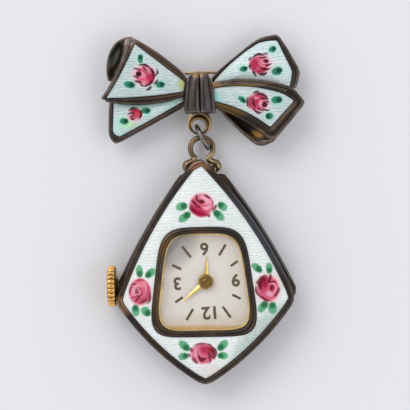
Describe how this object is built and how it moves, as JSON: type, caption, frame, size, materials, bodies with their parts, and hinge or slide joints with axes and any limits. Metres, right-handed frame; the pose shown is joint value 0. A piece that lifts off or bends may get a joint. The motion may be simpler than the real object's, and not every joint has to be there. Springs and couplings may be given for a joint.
{
  "type": "chatelaine watch pin",
  "caption": "Enamelled ribbon bow pin from which a kite shaped enamelled pendant watch hangs by a jump ring, with a winding crown at the side.",
  "frame": {"origin": "middle of the flat case back, under the axis of the hands", "axes": "+Z out of the dial and the enamel, away from the surface that the jewel lies on; +Y along the jewel from the watch to the bow; +X away from the crown"},
  "size_m": [0.0321, 0.0551, 0.0069],
  "materials": {
    "oxidised_silver": "oxidised, worn to copper brown on the edges",
    "bow_enamel": "translucent mint enamel over engine turned waves",
    "watch_enamel": "pale enamel over engine turned waves",
    "old_brass": "dull, stained",
    "bronze_wire": "worn gilt over bronze",
    "gilt": "polished gilt",
    "crown_gilt": "worn gilt with dark grooves",
    "silvered_dial": "satin silvered lacquer",
    "plain_steel": "plain",
    "crystal": "clear, low dome"
  },
  "bodies": {
    "pin_and_watch": {"bow": "oxidised_silver", "knot": "oxidised_silver", "enamel_left_loop": "bow_enamel", "enamel_left_tail": "bow_enamel", "enamel_right_tail": "bow_enamel", "enamel_right_loop": "bow_enamel", "hanger": "old_brass", "brooch_pin": "old_brass", "jump_ring": "bronze_wire", "bail": "bronze_wire", "case": "oxidised_silver", "movement": "plain_steel", "front_frame": "oxidised_silver", "enamel_face": "watch_enamel", "dial_ring": "gilt", "dial": "silvered_dial", "crystal": "crystal"},
    "winding_stem": {"winding_stem": "plain_steel"},
    "crown": {"crown": "crown_gilt"},
    "minute_hand": {"minute_hand": "gilt"},
    "hour_hand": {"hour_hand": "gilt"}
  },
  "joints": [
    {"name": "crown_pull", "type": "slide", "parent": "pin_and_watch", "child": "winding_stem", "axis": [-1, 0, 0], "range_m": [0, 0.0008]},
    {"name": "crown_turn", "type": "hinge", "parent": "winding_stem", "child": "crown", "pos_m": [-0.0148, -0.0004, 0.00335], "axis": [-1, 0, 0], "continuous": true},
    {"name": "minute_hand_turn", "type": "hinge", "parent": "pin_and_watch", "child": "minute_hand", "pos_m": [0, 0, 0.0048], "axis": [0, 0, -1], "continuous": true},
    {"name": "hour_hand_turn", "type": "hinge", "parent": "pin_and_watch", "child": "hour_hand", "pos_m": [0, 0, 0.0045], "axis": [0, 0, -1], "continuous": true}
  ],
  "couplings": [
    {"joint": "hour_hand_turn", "follows": "minute_hand_turn", "ratio": 0.083333}
  ]
}
